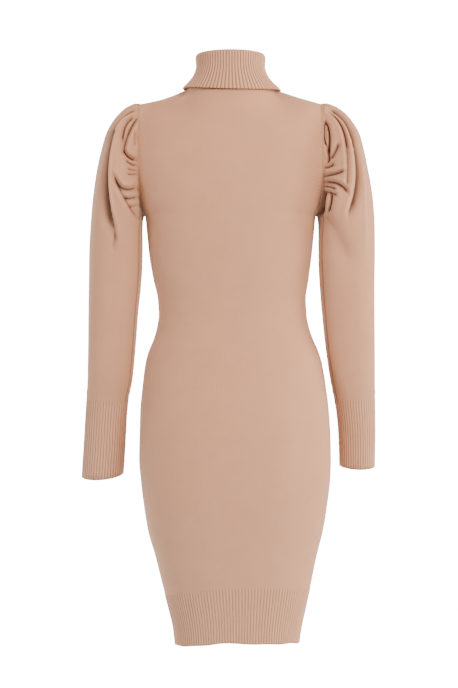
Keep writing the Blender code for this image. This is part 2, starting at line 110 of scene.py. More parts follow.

# Marks on a panel: a groove at the side seam, painted highlight beside the armhole, painted shade
# at the underarm and fashioning marks; widths are shares of half a panel, heights are above the
# underarm
SIDE_SEAM_DEPTH = 0.8 * MM
SIDE_SEAM_WIDTH = 0.008
ARMHOLE_HIGHLIGHT = 1.3
ARMHOLE_HIGHLIGHT_WIDTH = 0.1182
ARMHOLE_HIGHLIGHT_FROM = 30.0
ARMHOLE_HIGHLIGHT_FADE = 60.0
UNDERARM_SHADE = 0.85
UNDERARM_SHADE_WIDTH = 0.125
UNDERARM_SHADE_MIDDLE = 6.0
UNDERARM_SHADE_HEIGHT = 36.0
SHAPING_LINE = 0.925
SHAPING_WIDTH = 0.01176
SHAPING_FROM = 25.0
SHAPING_FADE = 12.0

BodySection = namedtuple("BodySection", "height edge edge_back edge_front back front centre")
BODY_SECTIONS = [
    BodySection(-891, 100.5, 0, 0, 84, 84, -11.0),
    BodySection(-860, 104.5, 0, 0, 87, 86, -11.0),
    BodySection(-821, 113.4, 0, 0, 93, 91, -10.5),
    BodySection(-783, 122.3, 0, 0, 99, 95, -9.7),
    BodySection(-744, 131.2, 0, 0, 105, 98, -8.9),
    BodySection(-705, 141.8, 0, 0, 111, 101, -8.1),
    BodySection(-666, 148.2, 0, 0, 117, 103, -8.1),
    BodySection(-627, 153.1, 0, 0, 121, 105, -8.1),
    BodySection(-588, 155.5, 0, 0, 123, 107, -7.3),
    BodySection(-549, 154.6, 0, 0, 122, 109, -7.3),
    BodySection(-510, 152.8, 0, 0, 117, 109, -6.5),
    BodySection(-471, 148.6, 0, 0, 109, 107, -6.0),
    BodySection(-433, 142.9, 0, 0, 99, 103, -5.2),
    BodySection(-413, 136.9, 0, 0, 95, 100, -4.9),
    BodySection(-394, 128.8, 0, 0, 91, 97, -4.6),
    BodySection(-374, 122.9, 0, 0, 88, 94, -4.0),
    BodySection(-355, 119.9, 0, 0, 87, 92, -3.6),
    BodySection(-335, 119.9, 0, 0, 87, 91, -2.4),
    BodySection(-297, 126.2, 0, 0, 90, 95, -0.8),
    BodySection(-258, 131.9, 0, 0, 94, 105, 0),
    BodySection(-219, 135.9, 0, 0, 97, 113, 0),
    BodySection(-195, 138.5, 0, 0, 98, 114, 0),
    BodySection(-191, 140.5, 13, 12, 98, 113.8, 0),
    BodySection(-180, 144.2, 26, 24, 98, 112.5, 0),
    BodySection(-160, 146.6, 37, 34, 98, 108.5, 0),
    BodySection(-130, 148.0, 44, 41, 96.5, 101, 0),
    BodySection(-100, 147.6, 45, 42, 92.5, 92.5, 0),
    BodySection(-70, 147.4, 40, 37, 86, 84, 0),
]

SHOULDER_TIP = (147.8, 0.0, -14.6)
NECK_POINT = (69.0, 0.0, 10.0)
SHOULDER_DIP = {LEFT: 3.4, RIGHT: 0.6}
NECKLINE_BACK = (66.0, 1.0)
NECKLINE_FRONT = (70.0, -20.5)

# Sleeve with its cuff: a loop round the armhole that turns into rings round the arm
SleeveSection = namedtuple(
    "SleeveSection", "station inner_height outer_height inner outer back front middle drop"
)
SLEEVE_SECTIONS = {
    LEFT: [
        SleeveSection(0, -195, -14.6, 139.0, 149.0, 45, 42, 0, 0),
        SleeveSection(1, -196, -13.4, 139.3, 155.0, 51, 48, 0, 0),
        SleeveSection(2, -197, -17.5, 139.8, 166.0, 58, 55, 0, 0),
        SleeveSection(3, -199, -27.5, 140.4, 178.5, 65, 62, 0, 0),
        SleeveSection(4, -202, -42.5, 141.0, 191.0, 71, 67, 0, 0),
        SleeveSection(5, -206, -63.0, 141.5, 201.7, 76, 72, 1, 0),
        SleeveSection(6, -211, -87.0, 141.8, 208.8, 78, 74, 2, 0),
        SleeveSection(7, -218, -113.0, 142.0, 214.7, 77, 73, 3, 0),
        SleeveSection(8, -227, -143.0, 142.0, 219.7, 74, 70, 4, 0),
        SleeveSection(9, -240, -178.0, 141.9, 223.7, 69, 66, 5, 0),
        SleeveSection(10, -257, -216.0, 141.9, 226.5, 63, 61, 6, 0),
        SleeveSection(11, -281, -259.0, 142.4, 228.6, 56, 55, 6, 0),
        SleeveSection(12, -312, -304.0, 144.6, 229.2, 50, 49, 5, 0),
        SleeveSection(13, -353, -351.0, 149.0, 230.2, 45, 44, 2, 1),
        SleeveSection(14, -405, -405.0, 153.2, 231.0, 41, 40, -3, 3),
        SleeveSection(15, -462, -462.0, 159.0, 232.6, 36, 35, -10, 5),
        SleeveSection(16, -487, -487.0, 164.8, 234.0, 30, 30, -14, 6),
        SleeveSection(17, -520, -522.0, 168.6, 236.6, 28, 28, -20, 6),
        SleeveSection(18, -565, -568.0, 171.4, 240.0, 27, 27, -29, 7),
        SleeveSection(19, -614, -620.0, 175.0, 244.0, 28, 28, -39, 7.5),
    ],
    RIGHT: [
        SleeveSection(0, -195, -14.6, 139.0, 149.0, 45, 42, 0, 0),
        SleeveSection(1, -196, -13.4, 139.3, 157.0, 51, 48, 0, 0),
        SleeveSection(2, -197, -17.5, 139.8, 169.5, 58, 55, 0, 0),
        SleeveSection(3, -199, -27.5, 140.4, 184.5, 65, 62, 0, 0),
        SleeveSection(4, -202, -42.5, 141.0, 197.5, 71, 67, 0, 0),
        SleeveSection(5, -206, -63.0, 141.5, 209.0, 76, 72, 1, 0),
        SleeveSection(6, -211, -87.0, 141.8, 215.6, 78, 74, 2, 0),
        SleeveSection(7, -218, -113.0, 142.0, 221.0, 77, 73, 3, 0),
        SleeveSection(8, -227, -143.0, 142.0, 226.6, 74, 70, 4, 0),
        SleeveSection(9, -240, -178.0, 141.9, 231.2, 69, 66, 5, 0),
        SleeveSection(10, -257, -216.0, 142.0, 233.2, 63, 61, 6, 0),
        SleeveSection(11, -281, -259.0, 142.4, 233.6, 56, 55, 6, 0),
        SleeveSection(12, -312, -304.0, 144.2, 233.0, 50, 49, 5, 0),
        SleeveSection(13, -353, -351.0, 147.8, 233.4, 45, 44, 2, 1),
        SleeveSection(14, -405, -405.0, 153.4, 234.2, 41, 40, -3, 3),
        SleeveSection(15, -462, -462.0, 162.0, 235.0, 36, 35, -10, 5),
        SleeveSection(16, -487, -487.0, 167.6, 235.2, 30, 30, -14, 6),
        SleeveSection(17, -520, -520.0, 173.4, 236.0, 28, 28, -21, 6),
        SleeveSection(18, -560, -560.0, 176.8, 236.8, 27, 27, -30, 6),
        SleeveSection(19, -601, -603.0, 178.4, 236.6, 27, 27, -38, 6),
    ],
}
CUFF_START = 16
SLEEVE_END = 19
ARMHOLE_BLEND = 5.0
ARMHOLE_CLEAR_TO = 6
YOKE_SAMPLES = 60
ARMHOLE_SAMPLES = 160
SLEEVE_FULLER = 0.05
SLEEVE_FULLER_END = 2.0

# Small gathers that run down the sleeve head from the armhole, uneven in place and length
GATHER_COUNT = 30
GATHER_DEPTH = 1.5 * MM
GATHER_DRIFT = 1.7
GATHER_DRIFT_BEAT = 3
GATHER_JITTER = 0.9
GATHER_JITTER_BEAT = 7
GATHER_REACH = 2.6
GATHER_UNEVEN = 0.3
GATHER_UNEVEN_BEAT = 5
GATHER_START = 0.5
TOPSIDE_FROM = -0.85
TOPSIDE_FADE = 0.5

# Underarm seam of the sleeve, with painted shade along it, and the top of the cuff
UNDERARM_SEAM = 0.835
UNDERARM_SEAM_DEPTH = 1.2 * MM
UNDERARM_SEAM_WIDTH = 0.016
UNDERARM_SEAM_START = 2.0
UNDERARM_SEAM_END = 0.4
UNDERARM_SEAM_SHADE = 0.8
CUFF_RIB_FADE = 0.16
CUFF_PUFF = 0.7 * MM
CUFF_PUFF_ABOVE = 0.25
CUFF_PUFF_WIDTH = 0.2

# Folds of the gathered sleeve head, seen flat: across and height of the curved line at the
# bottom of each. Going from start to end, the roll of cloth that laps over the line stands on
# the right, with a steep side as wide as lap; the cloth rises again over the open width on
# the left. A fold of negative depth is a ridge.
Fold = namedtuple("Fold", "start bend end open lap depth roll")
FOLDS = {
    "swept": [
        Fold((153, -27), (184, -36), (189, -66), 5, 2.6, 6.0, 1.4),
        Fold((187, -62), (209, -142), (183, -222), 12, 2.4, 12.0, 2.6),
        Fold((156, -40), (172, -50), (171, -80), 4, 2.6, 7.0, 1.4),
        Fold((149, -41), (165, -66), (168.5, -96), 5, 2.6, 8.0, 1.6),
        Fold((168.5, -94), (166, -106), (149, -110), 3.5, 2.6, 8.0, 1.4),
        Fold((153, -64), (149.5, -75), (153.5, -87), 2.2, 2.2, 2.6, 0.5),
        Fold((165, -111), (158, -118), (149, -118), 3, 2.2, 4.5, 0.8),
        Fold((163, -125), (158, -127), (149, -126), 2.5, 2.2, 3.5, 0.6),
        Fold((163, -133), (158, -134), (149, -132), 2.5, 2.2, 3.5, 0.6),
        Fold((184, -137), (174, -168), (149, -153), 5, 3.2, 5.5, 2.0),
        Fold((168, -172), (160, -174), (149, -169), 3.5, 2.6, 4.5, 1.0),
        Fold((149, -202), (166, -178), (181, -147), 6, 3, 2.8, 1.2),
        Fold((160, -187), (155, -185), (146, -181), 2.5, 2.2, 2.5, 0.4),
        Fold((183, -226), (183, -238), (186, -248), 4, 3, 3.0, 0.5),
    ],
    "rolled": [
        Fold((160, -24), (190, -34), (197, -86), 8, 3.2, 9.0, 1.8),
        Fold((196, -82), (211, -138), (187, -196), 9, 3.4, 8.5, 1.6),
        Fold((157, -29), (184, -44), (185, -100), 4, 2.6, 8.0, 1.6),
        Fold((185, -98), (186.5, -126), (184, -156), 4, 2.6, 3.0, 1.4),
        Fold((151.5, -46), (161, -62), (154.5, -97), 2.2, 2.2, 10.0, 0.8),
        Fold((151, -48), (145.5, -66), (152.5, -88), 1.8, 1.8, 6.5, 0.0),
        Fold((153.2, -58), (151.5, -66), (153.4, -78), 1.3, 1.3, 2.6, 0.0),
        Fold((154, -90), (158, -104), (151, -116), 3.5, 3, 8.0, 0.8),
        Fold((171, -84), (167, -98), (157, -110), 4, 2.6, 6.0, 1.4),
        Fold((163, -116), (159, -122), (150, -122), 3, 2.4, 5.5, 0.8),
        Fold((180, -128), (168, -134), (149, -135), 3.5, 2.4, 6.0, 1.3),
        Fold((186, -164), (176, -146), (149, -144), 4, 2.6, 7.5, 1.4),
        Fold((166, -158), (160, -154), (149, -151), 3, 2.2, 5.0, 0.8),
        Fold((168, -168), (160, -162), (148, -159), 3, 2.2, 5.0, 0.8),
        Fold((158, -164), (160, -176), (153, -194), 3.5, 2.6, 8.0, 0.8),
        Fold((148, -160), (144, -176), (143, -194), 4, 4, 9.0, 0.0),
        Fold((146, -196), (170, -222), (190, -266), 13, 14, 4.2, 0.8),
        Fold((211, -104), (214, -170), (214, -262), 4, 4, -1.8, 0.0),
    ],
}
FOLDS_ON = {
    (LEFT, BACK): "swept",
    (LEFT, FRONT): "rolled",
    (RIGHT, BACK): "rolled",
    (RIGHT, FRONT): "swept",
}
FOLDS_FREE_FROM = 0.4
FOLDS_FACING = 0.45
PULL_DIRECTION = (0.3, 1.0, 0.3)
FOLD_SAMPLES = 48
FOLD_SHARPNESS = 1.35
FOLD_SCALE = 1.45
FOLD_END = 0.35
FOLD_RUN_OUT = 0.2
ROLL_AWAY = 2.2
ROLL_WIDTH = 1.2
# Painted highlight on the rolls of the folds and on raised folds; painted shade along the folds'
# creases, darker where a fold is deep, closed and broad
HIGHEST_ROLL = 2.0
PALE_DEPTH = 3.0
CLOSED_DEPTH = 4.5
CLOSED_LAP = 4.0
CREASE_SHARE = 0.75
CREASE_CORE = 1.25
CREASE_CORE_DARK = 0.85
BROAD_FOLD = 9.0
LEAST_BROAD = 0.15

# Collar: one rib tube, from the free edge up the turn-over, over the roll and down inside, with
# a last ring for the seam allowance behind the neckline
CollarRing = namedtuple("CollarRing", "step side back front side_height back_height front_height")
COLLAR_RINGS = [
    CollarRing(0.0, 78.2, 71.6, 75.5, 9.4, 2.8, -17.6),
    CollarRing(1.0, 70.0, 67.2, 69.0, 19.5, 15.0, -4.5),
    CollarRing(2.0, 60.8, 60.4, 61.0, 31.5, 31.0, 16.0),
    CollarRing(3.0, 56.2, 56.2, 56.0, 46.0, 47.0, 38.0),
    CollarRing(4.0, 57.0, 57.0, 56.5, 59.5, 62.5, 55.5),
    CollarRing(4.5, 55.0, 55.6, 55.0, 65.0, 67.4, 60.2),
    CollarRing(4.8, 52.6, 53.6, 53.1, 66.2, 67.8, 60.6),
    CollarRing(5.1, 50.6, 51.6, 51.2, 64.4, 65.0, 58.0),
    CollarRing(5.4, 50.2, 51.2, 50.9, 60.5, 60.5, 54.0),
    CollarRing(6.4, 50.2, 51.0, 51.0, 45.5, 44.0, 36.0),
    CollarRing(7.4, 56.6, 57.8, 58.2, 27.0, 21.0, 8.0),
    CollarRing(8.4, 65.2, 64.4, 67.6, 8.6, -1.2, -22.6),
]
COLLAR_EDGE_STEPS = 1.4
COLLAR_LEAN = 1.7
COLLAR_FLARE = 0.055
# COLLAR_PALE makes the whole collar paler; COLLAR_CREASE is painted shade deep in the hollows of
# its ribs
COLLAR_PALE = 0.5
COLLAR_CREASE = 0.95
COLLAR_CREASE_SHARPNESS = 3

# Linking stitches at the armholes and the neck
POINTS_PER_STITCH = 4
ARMHOLE_STITCHES = 150
ARMHOLE_SEAM_THICKNESS = 2.6 * MM
ARMHOLE_SEAM_OUT = 0.5 * MM
ARMHOLE_STITCH_WAIST = 0.12
NECK_STITCHES = 120
NECK_SEAM_THICKNESS = 1.3 * MM
NECK_SEAM_OUT = 0.9 * MM
NECK_SEAM_UP = -0.6 * MM
NECK_STITCH_WAIST = 0.3

# Grids: runs of rows along each form; the first run of a panel or sleeve has twice the columns
COLUMNS_PER_RIB = 4
LEVEL_TOLERANCE = 0.1
GIRTH_SAMPLES = 97
Run = namedtuple("Run", "start end rows")
PANEL_RUNS = [Run(HEM_BOTTOM, -792, 29), Run(-792, YOKE, 189), Run(YOKE, YOKE + 1, 29)]
SLEEVE_RUNS = [Run(0, 8.5, 112), Run(8.5, CUFF_START, 29), Run(CUFF_START, SLEEVE_END, 14)]
COLLAR_RUNS = [Run(0, 3.6, 29), Run(3.6, 5.4, 25), Run(5.4, 8.4, 21)]

# Stitches of the knit, and how much each layer darkens, pales or raises the cloth; the layers of
# rib furrows and creases are painted shade, and the pale layer of rolls and rib tops is painted
# highlight
WALE_PITCH = 1.7 * MM
COURSE_PITCH = 1.3 * MM
SHAPING_PITCH = 6.0 * MM
LEG_SLANT = 0.55
WALE_RELIEF = 0.6
COURSE_RELIEF = 0.25
DYE_NOISE = {"Scale": 26.0, "Detail": 3.0, "Roughness": 0.55}
HEATHER_NOISE = {"Scale": 420.0, "Detail": 2.0, "Roughness": 0.6}
DARKENS = {"furrow": 0.8, "crease": 1.2, "dye": 0.3, "heather": 0.5, "wale": 0.12, "shaping": 0.45}
PALES = {"heather": 0.4, "ridge": 0.35}
RAISES = {"stitch": 0.16, "heather": 0.25, "dye": 0.5, "shaping": -0.4}
ALWAYS_PALE = 0.12
CREASE_KEEPS_DARK = 0.8
DEEP_FROM = 0.5
DEEP_GAIN = 1.5
STITCH_RELIEF = 1.2 * MM


def hermite(start, start_slope, end, end_slope, part):
    """Cubic from start to end with the given slopes."""
    square = part * part
    cube = square * part
    return (
        start * (2 * cube - 3 * square + 1)
        + start_slope * (cube - 2 * square + part)
        + end * (3 * square - 2 * cube)
        + end_slope * (cube - square)
    )


def section_at(table, key, values):
    """Columns of a table at an array of key values, on smooth curves through its rows."""
    keys = np.array([getattr(row, key) for row in table], float)
    start = np.clip(np.searchsorted(keys, values, side="right") - 1, 0, len(keys) - 2)
    span = keys[start + 1] - keys[start]
    part = (values - keys[start]) / span
    columns = {}
    for name in table[0]._fields:
        column = np.array([getattr(row, name) for row in table], float)
        rise = np.diff(column) / np.diff(keys)
        agree = rise[1:] * rise[:-1]
        total = np.where(agree > 0, rise[1:] + rise[:-1], 1.0)
        inner = np.where(agree > 0, 2 * agree / total, 0.0)
        slopes = np.concatenate([rise[:1], inner, rise[-1:]])
        columns[name] = hermite(
            column[start], slopes[start] * span, column[start + 1], slopes[start + 1] * span, part
        )
    return SimpleNamespace(**columns)


def smooth(value):
    """Ease from 0 to 1."""
    value = np.clip(value, 0.0, 1.0)
    return value * value * (3 - 2 * value)


def bump(distance, width):
    """Soft hill, 1 at the middle."""
    return np.exp(-((distance / width) ** 2))


def vectors(x, y, z):
    return np.stack(np.broadcast_arrays(x, y, z), axis=-1)


def unit(arrows):
    return arrows / np.maximum(np.linalg.norm(arrows, axis=-1, keepdims=True), 1e-12)


def normals_of(form, across, up, across_step, up_step):
    """Directions square to a form, to the side that across x up points to."""
    along = form(across + across_step, up) - form(across - across_step, up)
    rise = form(across, up + up_step) - form(across, up - up_step)
    return unit(np.cross(along, rise))


def body_section(face, across, height):
    """Points of one panel below the yoke; across runs from -1, wearer's right, to 1, left."""
    row = section_at(BODY_SECTIONS, "height", height)
    depth, edge_depth = (row.back, row.edge_back) if face == BACK else (row.front, row.edge_front)
    edge_share = (1 - (edge_depth / depth) ** BODY_SQUARENESS) ** (1 / BODY_SQUARENESS)
    angle = across * np.arcsin(np.minimum(edge_share ** (BODY_SQUARENESS / 2), 1.0))
    turned = np.abs(np.sin(angle)) ** (2 / BODY_SQUARENESS) * np.sign(angle)
    x = row.centre + row.edge / edge_share * turned
    y = depth * np.maximum(np.cos(angle), 0.0) ** (2 / BODY_SQUARENESS)
    lift = HEM_LIFT * smooth((HEM_LIFT_TOP - height) / HEM_LIFT_FADE) if face == BACK else 0.0
    z = height + lift * np.cos(angle) ** 2
    return vectors(x, face * (y - SEAM_OVERLAP / MM), z) * MM


def top_edge(face, across):
    """Top edge of a panel: shoulder seam outside the neck point, neckline inside it."""
    share = np.abs(across)
    side = np.where(across < 0, RIGHT, LEFT)
    along = np.clip((share - NECK_SHARE) / (1 - NECK_SHARE), 0, 1)
    seam_x = NECK_POINT[0] + (SHOULDER_TIP[0] - NECK_POINT[0]) * along
    dip = np.where(across < 0, SHOULDER_DIP[RIGHT], SHOULDER_DIP[LEFT]) * np.sin(math.pi * along)
    seam_z = NECK_POINT[2] + (SHOULDER_TIP[2] - NECK_POINT[2]) * along - dip
    depth, centre_height = NECKLINE_BACK if face == BACK else NECKLINE_FRONT
    angle = math.pi / 2 * np.clip(share / NECK_SHARE, 0, 1)
    neck_x = NECK_POINT[0] * np.sin(angle)
    neck_z = centre_height + (NECK_POINT[2] - centre_height) * np.sin(angle) ** 2
    on_seam = share >= NECK_SHARE
    x = np.where(on_seam, seam_x, neck_x)
    y = np.where(on_seam, 0.0, depth * np.cos(angle))
    z = np.where(on_seam, seam_z, neck_z)
    return vectors(side * x, face * (y - SEAM_OVERLAP / MM), z) * MM


def rounded_top_edge(face, across):
    """Top edge of a panel with its corners at the neck points rounded off."""
    reach = CORNER_REACH * bump(np.abs(across) - NECK_SHARE, CORNER_WIDTH)
    beside = (np.clip(across + step * reach, -1, 1) for step in np.linspace(-1, 1, CORNER_SAMPLES))
    return sum(top_edge(face, spot) for spot in beside) / CORNER_SAMPLES


def body_point(face, across, level):
    """Panel points; level is a height in mm up to the yoke, then yoke + 1 at the top edge."""
    below = body_section(face, across, np.minimum(level, YOKE))
    part = np.clip(level - YOKE, 0, 1)[..., None]
    rise = below - body_section(face, across, np.minimum(level, YOKE) - RISE_STEP)
    end = rounded_top_edge(face, across)
    span = np.linalg.norm(end - below, axis=-1, keepdims=True)
    crest = vectors(0 * across, -face, 0)
    to_neck = unit(vectors(TOWARDS_NECK[0] * across, TOWARDS_NECK[1] * face, TOWARDS_NECK[2]))
    outward = smooth((np.abs(across) - NECK_SHARE * CREST_FROM) / (1 - NECK_SHARE))[..., None]
    arrive = unit(to_neck * (1 - outward) + crest * outward)
    pull = span * YOKE_FULLNESS
    above = hermite(below, unit(rise) * pull, end, arrive * pull, part)
    above = above + (top_edge(face, across) - end) * part ** 4
    return np.where(part > 0, above, below)


def even_spacing(face):
    """Across values of a panel's hem, and the share of its round that each has reached, -1 to 1."""
    across = np.linspace(-1, 1, SPACING_SAMPLES)
    line = body_section(face, across, np.full(len(across), RIB_SPACING_HEIGHT))
    steps = np.linalg.norm(np.diff(line, axis=0), axis=1)
    reached = np.concatenate([[0], np.cumsum(steps)])
    return across, reached / reached[-1] * 2 - 1


def rib_marks(phase, share, depth):
    """Painted shade for rib cloth that lies deep between two ribs, and painted highlight for rib
    cloth out on a rib.
    """
    furrow = ((1 - np.cos(phase)) / 2) ** 2 * share * depth
    pale = (1 + np.cos(phase)) / 2 * share * RIB_PALE
    return furrow, pale


def body_form(face, across, level):
    """Points of one panel with its ribbed hem, its fashioning marks, and its painted shade and
    painted highlight.
    """
    def form(across, level):
        held = np.clip(level, HEM_BOTTOM - HEM_OVERRUN, YOKE + 1)
        return body_point(face, np.clip(across, -1, 1), held)

    points = form(across, level)
    level_step = np.where(level > YOKE - HEIGHT_STEP, YOKE_STEP, HEIGHT_STEP)
    normals = normals_of(form, across, level, ACROSS_STEP, level_step) * -face
    height = np.minimum(level, YOKE)
    fade = smooth((HEM_RIB_TOP + HEM_RIB_SLOPE * (1 - across) - height) / HEM_RIB_FADE)
    phase = np.interp(across, *even_spacing(face)) * math.pi * HEM_RIBS / 2
    rib = np.cos(phase) * RIB_DEPTH / 2 * fade
    from_side = 1 - np.abs(across)
    side_seam = SIDE_SEAM_DEPTH * bump(from_side, SIDE_SEAM_WIDTH)
    points = points + normals * (rib - side_seam)[..., None]

    at_edge = smooth((HEM_EDGE_TOP - height) / HEM_EDGE_FADE)
    ripple = sum(wave.height * np.sin(across * wave.beat + wave.phase) for wave in HEM_RIPPLES)
    points[..., 2] += ripple * at_edge * MM * (1 - across ** RIPPLE_EDGE_POWER)
    sag = HEM_SAG * (1 - across ** 2) ** 2 if face == BACK else 0.0
    points[..., 2] += (HEM_SLANT * (1 - across) / 2 - sag) * at_edge

    # Painted shade in the hem rib's furrows and painted highlight on its ridges
    furrow, pale = rib_marks(phase, fade, HEM_FURROW)
    over_underarm = level - UNDERARM
    beside_armhole = smooth((over_underarm - ARMHOLE_HIGHLIGHT_FROM) / ARMHOLE_HIGHLIGHT_FADE)
    # Painted highlight on the panel beside the armhole, where it turns towards the sleeve
    pale = pale + ARMHOLE_HIGHLIGHT * bump(from_side, ARMHOLE_HIGHLIGHT_WIDTH) * beside_armhole
    shaping = bump(np.abs(across) - SHAPING_LINE, SHAPING_WIDTH)
    shaping = shaping * smooth((over_underarm - SHAPING_FROM) / SHAPING_FADE)
    # Painted shade on the panel at the underarm
    crease = UNDERARM_SHADE * bump(from_side, UNDERARM_SHADE_WIDTH)
    crease = crease * bump(over_underarm - UNDERARM_SHADE_MIDDLE, UNDERARM_SHADE_HEIGHT)
    return points, {"furrow": furrow, "ridge": pale, "shaping": shaping, "crease": crease}


def armhole_loop(turn):
    """Points of the armhole edge by clock angle: 0 at the shoulder tip, pi at the underarm."""
    turn = np.mod(turn, 2 * math.pi)
    from_top = np.minimum(turn, 2 * math.pi - turn)
    cap = YOKE + np.linspace(1, 0, YOKE_SAMPLES)
    levels = np.concatenate([cap, np.linspace(YOKE, UNDERARM, ARMHOLE_SAMPLES)[1:]])
    loop = {}
    for face in (BACK, FRONT):
        edge = body_point(face, np.full(len(levels), float(LEFT)), levels)
        steps = np.linalg.norm(np.diff(edge, axis=0), axis=1)
        share = np.concatenate([[0], np.cumsum(steps)]) / steps.sum() * math.pi
        loop[face] = vectors(*(np.interp(from_top, share, edge[:, axis]) for axis in range(3)))
    behind = (turn <= math.pi)[..., None]
    return np.where(behind, loop[BACK], loop[FRONT])


def arm_rings(side, station, turn):
    """Smooth sleeve, mirrored to the wearer's left, before it is held to the armhole."""
    row = section_at(SLEEVE_SECTIONS[side], "station", station)
    behind = np.sin(turn) >= 0
    depth = np.where(behind, row.back, row.front)
    fuller = SLEEVE_FULLER * smooth(station / ARMHOLE_BLEND)
    fuller = fuller * smooth((CUFF_START - station) / SLEEVE_FULLER_END)
    squared = 1 + fuller * np.sin(2 * turn) ** 2
    x = (row.inner + row.outer) / 2 + (row.outer - row.inner) / 2 * np.cos(turn) * squared
    middle_height = (row.inner_height + row.outer_height) / 2
    tilt = (row.outer_height - row.inner_height) / 2 * np.cos(turn)
    z = middle_height + tilt - row.drop * np.sin(turn)
    return vectors(x, row.middle + depth * np.sin(turn) * squared, z) * MM


def smooth_sleeve(side, turn, station):
    """Sleeve without its folds, mirrored to the wearer's left and held to the armhole."""
    hold = 1 - smooth(station / ARMHOLE_BLEND)
    seat = armhole_loop(turn) + np.array([SEAM_GAP, 0, 0])
    off_seat = seat - arm_rings(side, 0 * station, turn)
    return arm_rings(side, station, turn) + off_seat * hold[..., None]


def fold_line(fold, part, axis):
    """Points of a fold's curved line on one axis: 0 across, 1 up."""
    return (
        (1 - part) ** 2 * fold.start[axis]
        + 2 * part * (1 - part) * fold.bend[axis]
        + part ** 2 * fold.end[axis]
    )


def fold_pull(side, face, points):
    """How far a sleeve head is drawn in, in metres, with the painted shade in the hollows of its
    folds and the painted highlight on their rolls.
    """
    across, height = np.abs(points[..., 0, None]) / MM, points[..., 2, None] / MM
    pull, crease, ridge = (np.zeros(points.shape[:-1]) for _ in range(3))
    part = np.linspace(0, 1, FOLD_SAMPLES)
    last = FOLD_SAMPLES - 1
    for fold in FOLDS[FOLDS_ON[side, face]]:
        line_x, line_z = (fold_line(fold, part, axis) for axis in (0, 1))
        near = np.hypot(across - line_x, height - line_z).argmin(axis=-1)
        along = unit(np.stack([np.gradient(line_x), np.gradient(line_z)], axis=-1))[near]
        from_x, from_z = across[..., 0] - line_x[near], height[..., 0] - line_z[near]
        square = from_x * along[..., 1] - from_z * along[..., 0]
        past = from_x * along[..., 0] + from_z * along[..., 1]
        past_end = np.where(near == last, np.maximum(past, 0), 0)
        past = np.where(near == 0, np.minimum(past, 0), past_end)
        distance = np.hypot(square, past)
        lapped = square > 0
        width = np.where(lapped, fold.lap, fold.open)
        valley = np.exp(-((distance / width) ** FOLD_SHARPNESS))
        roll = bump(distance - ROLL_AWAY * fold.lap, ROLL_WIDTH * fold.lap) * lapped
        share = near / last
        from_start = np.minimum(1, FOLD_END + share / FOLD_RUN_OUT)
        ends = from_start * np.minimum(1, FOLD_END + (1 - share) / FOLD_RUN_OUT)
        pull += (fold.depth * valley - fold.roll * roll) * ends
        # Painted shade along the fold's crease, darker where it is deep and closed
        closed = np.clip(fold.depth / CLOSED_DEPTH, 0, 1) * min(1, CLOSED_LAP / fold.lap)
        broad = np.clip(width / BROAD_FOLD, LEAST_BROAD, 1)
        dark = broad * bump(distance, CREASE_SHARE * width)
        dark = dark + CREASE_CORE_DARK * bump(distance, CREASE_CORE)
        crease += closed * dark * ends
        # Painted highlight on the fold's roll and along a raised fold
        pale = fold.roll / HIGHEST_ROLL * roll + max(-fold.depth, 0) / PALE_DEPTH * valley
        ridge += pale * ends
    return pull * FOLD_SCALE * MM, np.clip(crease, 0, 1), np.clip(ridge, 0, 1)


def gather_wave(side, turn, station):
    """How far the small gathers beside the armhole stand out, in metres."""
    uneven = turn * GATHER_COUNT / 2 + GATHER_DRIFT * np.sin(turn * GATHER_DRIFT_BEAT + side)
    uneven = uneven + GATHER_JITTER * np.sin(turn * GATHER_JITTER_BEAT)
    length = 1 - GATHER_UNEVEN + GATHER_UNEVEN * np.sin(turn * GATHER_UNEVEN_BEAT + side)
    left_over = np.clip(1 - station / (GATHER_REACH * length), 0, 1)
    topside = smooth((np.cos(turn) - TOPSIDE_FROM) / TOPSIDE_FADE)
    return GATHER_DEPTH * np.cos(uneven) * left_over * topside * smooth(station / GATHER_START)


def sleeve_form(side, turn, station):
    """Points of one sleeve with its cuff, and the painted shade and painted highlight that colour
    its cloth there.
    """
    def form(turn, station):
        return smooth_sleeve(side, turn, np.clip(station, 0, SLEEVE_END))

    points = form(turn, station)
    normals = -normals_of(form, turn, station, TURN_STEP, STATION_STEP)
    facing = smooth(np.abs(np.sin(turn)) / FOLDS_FACING)
    free = smooth(station / FOLDS_FREE_FROM)
    behind = np.sin(turn) >= 0
    # The folds' pull, painted shade and painted highlight, on the back and the front
    both_faces = zip(fold_pull(side, BACK, points), fold_pull(side, FRONT, points))
    pull, crease, ridge = (np.where(behind, *pair) * facing * free for pair in both_faces)

    seam = bump(turn / math.pi - UNDERARM_SEAM, UNDERARM_SEAM_WIDTH)
    seam = seam * smooth(station / UNDERARM_SEAM_START)
    seam = seam * smooth((CUFF_START + UNDERARM_SEAM_END - station) / UNDERARM_SEAM_END)
    phase = turn * CUFF_RIBS
    ribbed = smooth((station - CUFF_START) / CUFF_RIB_FADE)
    rib = np.cos(phase) * CUFF_RIB_DEPTH / 2 * ribbed
    puff = CUFF_PUFF * bump(station - CUFF_START + CUFF_PUFF_ABOVE, CUFF_PUFF_WIDTH)
    out = gather_wave(side, turn, station) - seam * UNDERARM_SEAM_DEPTH + rib + puff
    inward = unit(normals * np.array(PULL_DIRECTION))
    points = points + normals * out[..., None] - inward * pull[..., None]

    seat_x = armhole_loop(turn)[..., 0] + SEAM_GAP
    clear_x = np.maximum(points[..., 0], seat_x)
    points[..., 0] = np.where(station < ARMHOLE_CLEAR_TO, clear_x, points[..., 0]) * side
    # Painted shade in the cuff rib's furrows and painted highlight on its ridges
    furrow, pale = rib_marks(phase, ribbed, CUFF_FURROW)
    # Painted shade along the underarm seam
    crease = np.maximum(crease, UNDERARM_SEAM_SHADE * seam)
    return points, {"furrow": furrow, "crease": crease, "ridge": np.maximum(ridge, pale)}


